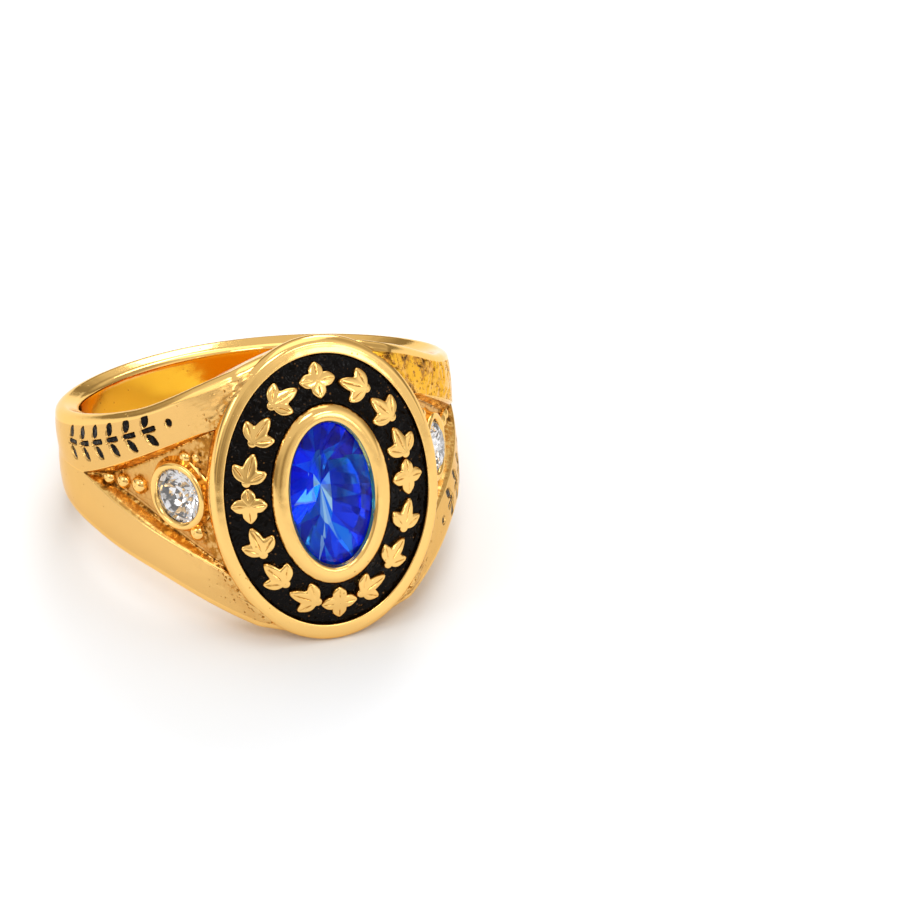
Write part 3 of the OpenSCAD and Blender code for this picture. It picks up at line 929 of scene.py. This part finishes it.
# %% [markdown]
# The top is a low cushion with a rounded edge, and every leaf has a fine groove for its midrib. Brown is
# painted in the grooves and round the edge, as oxide and as painted shade.

# %% Relief of an ornament
cushion_h, swell_h, groove_h = 0.13, 0.06, 0.06


def ornament(kind):
    """Rings at shares s of the outline, a cushion with a side, less a groove per leaf, and oxide and
    painted shade.
    """
    edge = outline(kind)
    near_edge = [0.86, 0.91, 0.95, 0.98, 1.0, 1.0, 1.0]
    s = np.concatenate([[0.004], np.linspace(0.08, 0.8, 8), near_edge])[:, None]
    side_drop = np.array([0] * 14 + [0.3, 0.62])[:, None]
    cushion = cushion_h * np.sqrt(1 - ((s - 0.74) / 0.26).clip(0, 1) ** 2.4)
    off_rib = np.minimum.reduce([np.abs(s * edge * np.sin(directions - leaf[0])) for leaf in LEAVES[kind]])
    rib = np.exp(-((off_rib / 0.035) ** 2)) * smooth((s * edge - 0.3) / 0.2) * smooth((0.95 - s) / 0.15)
    top = cushion - cushion_h + swell_h * (1 - s**2) - groove_h * rib
    z = np.where(side_drop > 0, -cushion_h - side_drop, top)
    x = s * edge * np.cos(directions) + HUBS[kind][1]
    # The second value paints brown in the grooves and round the edge: oxide and painted shade.
    return np.stack([x, s * edge * np.sin(directions), z], -1), 0.7 * rib + 0.9 * smooth((s - 0.93) / 0.06)


# %% [markdown]
# Each ornament is placed in the middle of the channel, with directions along it, across it and out of its
# sloped floor. Those on the left side are turned round, so that both sides climb from the bottom to the
# top. On an oval, equal steps of the parameter crowd the ornaments at its ends, so a sine wave of a few
# degrees evens them.

# %% Placing the ornaments
places, evened = 16, 4.8


def channel_frame(t):
    """Middle of the channel, and unit vectors along, across and out of it, at parameter t of its oval."""
    outer = np.stack([(head_a - rim_side) * np.cos(t), -face_h + 0 * t, (head_b - rim_end) * np.sin(t)], -1)
    inner = np.stack([(head_a - floor_side) * np.cos(t), -face_h - channel_rise + 0 * t,
                      (head_b - floor_end) * np.sin(t)], -1)
    across = (inner - outer) / np.linalg.norm(inner - outer, axis=-1, keepdims=True)
    run = np.stack([-(head_a - rim_side - channel_side / 2) * np.sin(t), 0 * t,
                    (head_b - rim_end - channel_end / 2) * np.cos(t)], -1)
    along = run - across * (run * across).sum(-1, keepdims=True)
    along = along / np.linalg.norm(along, axis=-1, keepdims=True)
    return (outer + inner) / 2, along, across, np.cross(along, across)


def copies(blocks, size, mirrored):
    """Faces of equal parts: each part's numbers move on by its size, and a mirrored part's turn round."""
    step = np.arange(len(mirrored))[:, None, None] * size
    turn_round = mirrored[:, None, None]
    moved = [np.where(turn_round, faces[:, ::-1] + step, faces + step) for faces in blocks]
    return [faces.reshape(-1, faces.shape[-1]) for faces in moved]


# %% [markdown]
# All rosettes make one piece, and all sprigs another.

# %% The ornaments' pieces
for kind in ("rosette", "sprig"):
    spots = np.arange(0, places, 4) if kind == "rosette" else np.arange(places)[np.arange(places) % 4 > 0]
    u = spots * 360 / places
    place = np.radians(u - evened * np.sin(np.radians(2 * u)))
    middle, along, across, out = (part[:, None, None] for part in channel_frame(place))
    climbs_left = (u > 90) & (u < 270) if kind == "sprig" else np.zeros(len(u), bool)
    relief, stained_and_shaded = ornament(kind)
    x, y, z = (part[None, ..., None] for part in np.moveaxis(relief, -1, 0))
    facing = np.where(climbs_left, -1, 1)[:, None, None, None]
    points, blocks = stack_with_poles(middle + facing * x * along + y * across + z * out)
    blocks = copies(blocks, points.shape[1], climbs_left)
    cast(f"channel_{kind}s", points.reshape(-1, 3), blocks, {"oxide_and_shade": np.tile(per_point(stained_and_shaded), len(u))})

# %% [markdown]
# ## Enamel in the channel
# Enamel goes in as powder and melts to a skin that creeps up every wall it touches. The sheet lies a
# little under the ornaments' tops. Its section is a thin strip whose top curls up at rim and bezel.

# %% The enamel's sheet
sheet_lines, sheet_steps, sheet_drop, curl_h = 18, 320, 0.23, 0.1
strip = np.concatenate([np.linspace(0, 1, sheet_lines), np.linspace(1, 0, 5)])
on_top = np.arange(len(strip)) < sheet_lines
curl = fade(strip, 0.04) + fade(1 - strip, 0.04)
sheet_h = channel_rise * strip + np.where(on_top, curl_h * curl - sheet_drop, clearance - channel_depth)
sheet_rows = rows_of(rim_side + clearance + (channel_side - 2 * clearance) * strip,
                     rim_end + clearance + (channel_end - 2 * clearance) * strip, sheet_h)
sheet = oval_rings(sheet_rows, sheet_steps)
unevenness = 0.035 * ripple(sheet, 1.9, 11) + 0.025 * ripple(sheet, 0.8, 5) + 0.04 * ripple(sheet, 0.5, 8)
sheet[..., 1] -= unevenness * (on_top * (1 - curl).clip(0, 1))[:, None]
make_piece("channel_black", sheet.reshape(-1, 3), [grid_faces(*sheet.shape[:2], closed_rows=True)],
           [channel_black], "channel_enamel")

# %% [markdown]
# ## Side settings
# A bezel is turned about its own axis, as on a lathe, and so is a bead. Each needs the place on the
# panel's floor where it stands, and the direction that leads straight out of it. A wobble of a hundredth
# keeps the turned parts from looking new.

# %% Turning on the panel


def panel_frame(a, z):
    """Points on the panel's floor with unit vectors along it, up, and out of it, from the floor's slope."""
    a, z = np.atleast_1d(a), np.atleast_1d(z)
    slope = (floor_r(a + 0.5) - floor_r(a - 0.5)) * 180 / math.pi / floor_r(a)
    s, c = np.sin(np.radians(a)), np.cos(np.radians(a))
    out = np.stack([-s + slope * c, c + slope * s, 0 * s], -1) / np.hypot(1, slope)[:, None]
    along = np.stack([-out[:, 1], out[:, 0], 0 * s], -1)
    return around(a, floor_r(a), z), along, np.array([0, 0, 1.0]) + 0 * out, out


def turned(r, h, steps, stand, wobble):
    """Rings of a profile of radius and height, turned about the outward direction of each stand."""
    middle, along, up, out = (part[:, None, None] for part in stand)
    t = np.linspace(0, 2 * np.pi, steps, endpoint=False)[:, None]
    r = r[..., None, None] * (1 + wobble * np.sin(3 * t + 1))
    return middle + r * (np.cos(t) * along + np.sin(t) * up) + h[..., None, None] * out


# %% [markdown]
# The bezel's profile starts deep in the casting, comes out of the panel's floor in a hollow curve, goes
# over a half-round top and down into the cup that holds the stone.

# %% The bezels
bezel_r, bezel_steps = side_r + side_wall, 96
rise = np.linspace(0, 1, 9)
over = np.radians(np.linspace(0, 180, 13))[1:]
half_t = (bezel_r - side_r + clearance) / 2
profile_r = np.concatenate([[0.8, bezel_r], bezel_r + 0.4 * (1 - rise) ** 2.2 - 0.02 * rise,
                            bezel_r - 0.02 - half_t * (1 - np.cos(over)),
                            side_r + np.array([-0.04, clearance, clearance, 0.4 - side_r])])
profile_h = np.concatenate([[-1.4, -0.9], -0.15 + 0.62 * rise, 0.47 + 0.2 * np.sin(over),
                            [0.42, 0.4, 0.2, -1.1]])
bezel_rings = turned(profile_r, profile_h, bezel_steps, panel_frame(side_at, 0.0), wobble=0.006)
points, blocks = stack_with_poles(bezel_rings[0])
# The bezel's cup under the stone is painted dark: a painted shadow round the stone.
in_cup = np.arange(len(profile_r)) > len(profile_r) - 4
for side, signs in SHOULDERS.items():
    cast(f"side_bezel_{side}", points * signs, blocks, {"oxide_and_shade": per_point(0.8 * in_cup, bezel_steps)})

# %% [markdown]
# A bead is a low ball that sits a little in the floor. Its lower part is left out, because nothing shows
# it. Both shoulders carry the same six.

# %% The beads
polar = np.radians(np.linspace(1, 120, 16))
dome_r = bead_r[:, None] * np.sin(polar) ** 0.85
dome_h = bead_r[:, None] * (0.86 * np.cos(polar) + 0.1) - 0.1
bead_steps = 28
domes = turned(dome_r, dome_h, bead_steps, panel_frame(bead_at, bead_z), wobble=0.02)
points, blocks = stack_with_poles(domes)
blocks = copies(blocks, points.shape[1], np.zeros(len(bead_r), bool))
for side, signs in SHOULDERS.items():
    cast(f"panel_beads_{side}", points.reshape(-1, 3) * signs, blocks)

# %% [markdown]
# ## Cutting the stones
# A brilliant is a few rings of corners: table, star facets, girdle, two belts of the pavilion and the
# culet. Each ring's corners lie on an oval, at a share of the stone's radius and at a height. The facets
# are the flat faces between the rings. They are never smoothed, because a smoothed gem looks like jelly.

# %% Corners of a brilliant
TABLE, STAR, BELT, TIP = 0.6, 0.82, 0.68, 0.3


def ring_of(count, turned_by, share, z):
    """Corners on a circle, which is later stretched to the oval: share cos t, share sin t, at height z."""
    t = turned_by + np.arange(count) * 2 * np.pi / count
    return np.stack([share * np.cos(t), share * np.sin(t), np.full(count, z)], -1)


def brilliant_corners(half_x, half_y, crown_h, girdle_h, pavilion_h, n, keel=1.0):
    """All corners from table to culet. A keel past 1 draws the ring at the tip out along the stone."""
    step = np.pi / n
    star_z = girdle_h + crown_h * (1 - STAR * math.cos(step)) / (1 - TABLE)
    rings = [ring_of(n, 0, TABLE, girdle_h + crown_h), ring_of(n, step, STAR, star_z),
             ring_of(2 * n, 0, 1, girdle_h), ring_of(2 * n, 0, 1, 0.0),
             ring_of(n, step, BELT, -0.92 * pavilion_h * (1 - BELT * math.cos(step)))]
    tips = ring_of(n, 0, TIP, 0.0) * [1 / keel, keel, 1]
    tips[:, 2] = pavilion_h * (np.hypot(tips[:, 0], tips[:, 1]) - 1)
    return np.concatenate([*rings, tips, [[0, 0, -pavilion_h]]]) * [half_x, half_y, 1]


# %% [markdown]
# The facets come in two groups. Table, stars, kites and halves are glass. The girdle and all below it are
# foil, so that no light gets lost in the gold of the cup.

# %% Facets of a brilliant


def brilliant_facets(n):
    """Blocks of equal facets above the girdle, and below it, as rows of corner numbers."""
    i, k = np.arange(n), np.arange(2 * n)
    star, top, low, belt, tip, culet = n, 2 * n, 4 * n, 6 * n, 7 * n, 8 * n
    ahead, on, after = (i + 1) % n, (k + 1) % (2 * n), (2 * i + 2) % (2 * n)
    above = [(i, star + i, ahead), (i, star + (i - 1) % n, top + 2 * i, star + i),
             (star + i, top + 2 * i, top + 2 * i + 1), (star + i, top + 2 * i + 1, top + after)]
    below = [(top + k, low + k, low + on, top + on), (low + 2 * i, belt + i, low + 2 * i + 1),
             (low + 2 * i + 1, belt + i, low + after), (low + after, belt + i, tip + ahead),
             (low + after, tip + ahead, belt + ahead), (belt + i, tip + i, tip + ahead),
             (tip + i, 0 * i + culet, tip + ahead)]
    return [i[None]] + [np.stack(facet, -1) for facet in above], [np.stack(facet, -1) for facet in below]


def outward(points, faces):
    """The faces of a convex body, each turned so that its normal leads away from the middle."""
    a, b, c = (points[faces[:, k]] for k in (0, 1, 2))
    inside_out = (np.cross(b - a, c - a) * (a - points.mean(0))).sum(-1) < 0
    return np.where(inside_out[:, None], faces[:, ::-1], faces)


# %% [markdown]
# A set stone is turned so that its axis leads out of its seat. Its facets get painted highlight and
# painted shade: brightest a little below and left of the middle, darker towards the rim, with a random
# share of its own for each.

# %% Setting a stone
flash_x, flash_z, flash_spread, flash_scatter = -0.22, -0.25, 0.35, 0.32


def set_stone(name, corners, stand, finishes, stands_for, signs=(1, 1, 1)):
    """The stone's piece: corners along, up and out of the stand, glass above and foil below the girdle."""
    middle, along, up, out = stand
    placed = middle + corners[:, :1] * along + corners[:, 1:2] * up + corners[:, 2:] * out
    placed = placed * signs
    above, below = brilliant_facets((len(corners) - 1) // 8)
    blocks = [outward(placed, faces) for faces in above + below]
    piece = make_piece(name, placed, blocks, finishes, stands_for, flat=True)
    foiled = np.repeat([0, 1], [sum(map(len, above)), sum(map(len, below))])
    piece.data.polygons.foreach_set("material_index", foiled)
    spread = np.abs(corners[:, :2]).max(0)
    x, z = np.concatenate([corners[faces].mean(1)[:, :2] / spread for faces in above + below]).T
    # Painted highlight and painted shade, read by the blue foil's colour ramp.
    painted_flash = 0.33 + 0.5 * np.exp(-((x - flash_x) ** 2 + (z - flash_z) ** 2) / flash_spread)
    painted_flash = painted_flash + np.random.default_rng(9).uniform(-flash_scatter, flash_scatter, len(x))
    layer = piece.data.attributes.new("painted_flash", "FLOAT", "FACE")
    layer.data.foreach_set("value", painted_flash.clip(0, 1).astype(np.float32))


# %% [markdown]
# The oval stone is the round cut stretched along the finger, with sixteen folds. The round ones have
# eight and sit in their bezels on the panels.

# %% The three stones
stone_sink, side_lift = 0.55, 0.26
seat_h = face_h + channel_rise - stone_sink
face_stand = np.array([[0, -seat_h, 0], [1.0, 0, 0], [0, 0, 1.0], [0, -1.0, 0]])
oval_cut = brilliant_corners(stone_a, stone_b, crown_h=0.75, girdle_h=0.2, pavilion_h=2.3, n=16, keel=1.6)
set_stone("blue_oval", oval_cut, face_stand, [blue_crown, blue_foil], "centre_stone")
middle, along, up, out = (part[0] for part in panel_frame(side_at, 0.0))
round_cut = brilliant_corners(side_r, side_r, crown_h=0.5, girdle_h=0.1, pavilion_h=1.25, n=8)
for side, signs in SHOULDERS.items():
    set_stone(f"clear_round_{side}", round_cut, (middle + side_lift * out, along, up, out),
              [clear_crown, silver_foil], f"side_stone_{side}", signs)

# %% [markdown]
# ## Fill of the engraved rails
# The black in the engraving keeps its CAD solids: their shape is right, and they sit in the grooves that
# the band's skin was given. They need only the finish.

# %% Fill of the engraved rails
for name in ("rail_inlay_left", "rail_inlay_right"):
    fill = frame["nodes"][name]
    fill.data.materials.clear()
    fill.data.materials.append(rail_black)
    print(name, "has", len(fill.data.vertices), "points")

# %% [markdown]
# ## Floor, light and camera
# Polished metal shows only what it reflects, so a jeweller's photograph is made by its surroundings: a
# pale floor, and a white tent that is dimmer near the horizon. That dim belt draws the brown lines along
# every rounded edge of the gold. The floor's paper is a touch cool, or the gold would tint it.

# %% The floor
pale_paper = Finish("pale_paper")
pale_paper.set(Base_Color=(0.88, 0.9, 0.925), Roughness=0.55, Specular_IOR_Level=0.25)
floor_reach = 2.0
floor_mesh = bpy.data.meshes.new("floor")
corners = np.array([(-1, -1, 0), (1, -1, 0), (1, 1, 0), (-1, 1, 0)]) * floor_reach
floor_mesh.from_pydata(corners.tolist(), [], [(0, 1, 2, 3)])
floor_mesh.materials.append(pale_paper.material)
floor = show("floor", floor_mesh)
print("floor", 2 * floor_reach, "m square")

# %% [markdown]
# The tent is the world's background. Its strength grows with height above the horizon, and a few soft
# patches brighten it in front and at the left and dim it at the right. Its dim cloth is a little warm.

# %% The tent
studio = bpy.data.worlds.new("studio")
studio.use_nodes = True
tent = Nodes(studio.node_tree)
direction = tent.add("ShaderNodeTexCoord").outputs["Generated"]


def heading(azimuth, elevation):
    """Unit vector towards an azimuth, counted from the front to the right, and an elevation, in degrees."""
    a, e = math.radians(azimuth), math.radians(elevation)
    return math.sin(a) * math.cos(e), -math.cos(a) * math.cos(e), math.sin(e)


def toward(way, low, high, to_low, to_high):
    """A smooth step in the cosine of the angle between the view and a heading."""
    cosine = tent.add("ShaderNodeVectorMath", operation="DOT_PRODUCT")
    cosine.inputs[1].default_value = way
    tent.join(direction, cosine.inputs[0])
    return fit(tent, cosine.outputs["Value"], low, high, to_low, to_high)


# %% [markdown]
# Each patch is given by its azimuth, elevation, half width in degrees and the brightness that it adds.

# %% Patches of the tent
PATCHES = [(-92, 12, 28, 0.3), (95, 40, 35, -0.3), (30, 4, 40, 0.6), (60, 4, 22, 0.3), (-32, 0, 22, 0.25)]
brightness = toward((0, 0, 1), 0.1, 0.42, 0.3, 0.8)
for azimuth, elevation, width, change in PATCHES:
    patch = toward(heading(azimuth, elevation), math.cos(math.radians(width)), 1.0, 0.0, change)
    brightness = combine(tent, "ADD", brightness, patch)
CLOTH = {0.4: (1, 0.92, 0.78), 0.85: (1, 1, 1)}
background = tent.tree.nodes["Background"]
tent.join(brightness, background.inputs["Strength"])
tent.join(ramp(tent, brightness, CLOTH), background.inputs["Color"])
bpy.context.scene.world = studio
print("patches in the tent:", len(PATCHES))

# %% [markdown]
# Softboxes add the sharper accents. A rectangle's radiance is its power over pi times its area, so the
# power is worked out from the brightness that its reflection should have. The low card in front whitens
# the upper edges of rim and bezel.

# %% Softboxes


def softbox(name, place, target, width, length, radiance):
    """A rectangular light of that radiance, which faces its target."""
    data = bpy.data.lights.new(name, "AREA")
    data.shape = "RECTANGLE"
    data.size, data.size_y = width, length
    data.energy = math.pi * width * length * radiance
    light = show(name, data)
    light.location = place
    light.rotation_mode = "QUATERNION"
    light.rotation_quaternion = (Vector(target) - Vector(place)).to_track_quat("-Z", "Y")
    print(name, "gives", round(data.energy, 3), "W")


softbox("overhead", (0.02, 0.06, 0.32), (0, 0, 0), 0.30, 0.30, 1.0)
softbox("back_right", (0.13, 0.22, 0.22), (0, 0, 0), 0.13, 0.13, 5.5)
softbox("left", (-0.34, -0.02, 0.07), (0, 0, 0.01), 0.16, 0.10, 0.7)
softbox("left_pool", (-0.13, -0.02, 0.08), (-0.11, -0.01, 0), 0.05, 0.05, 3.0)
softbox("front_top", (-0.08, -0.20, 0.28), (0, 0, 0), 0.10, 0.08, 6.0)
softbox("front", (0.067, -0.251, 0.14), (0, 0, 0.01), 0.07, 0.03, 6.0)
softbox("front_card", (0.096, -0.279, 0.061), (0, 0, 0.01), 0.06, 0.055, 2.8)

# %% [markdown]
# The camera stands where the photograph was taken from: a long lens, 34 degrees above the horizon and 19
# to the left of the face. It looks past the middle of the finger's hole by the two offsets, which keeps
# the lens unshifted and puts the ring at the left of the frame.

# %% Camera
azimuth, elevation = -18.93, 33.61
distance, focal_px, image_px = 0.6869, 11802.9, 900
aim_right, aim_up = 0.01135, -0.00141
away = np.array(heading(azimuth, elevation))
right = np.array(heading(azimuth + 90, 0))
upward = np.cross(away, right)
lens = bpy.data.cameras.new("camera")
lens.sensor_width = 36
lens.lens = focal_px / image_px * lens.sensor_width
lens.clip_start, lens.clip_end = 0.01, 20
camera = show("camera", lens)
stand = np.eye(4)
stand[:3, :3] = np.stack([right, upward, away], -1)
stand[:3, 3] = bore_centre + away * distance + right * aim_right + upward * aim_up
camera.matrix_world = Matrix(stand.tolist())
bpy.context.scene.camera = camera
bpy.context.scene.view_settings.view_transform = "Standard"
print("lens", round(lens.lens), "mm at", distance, "m")
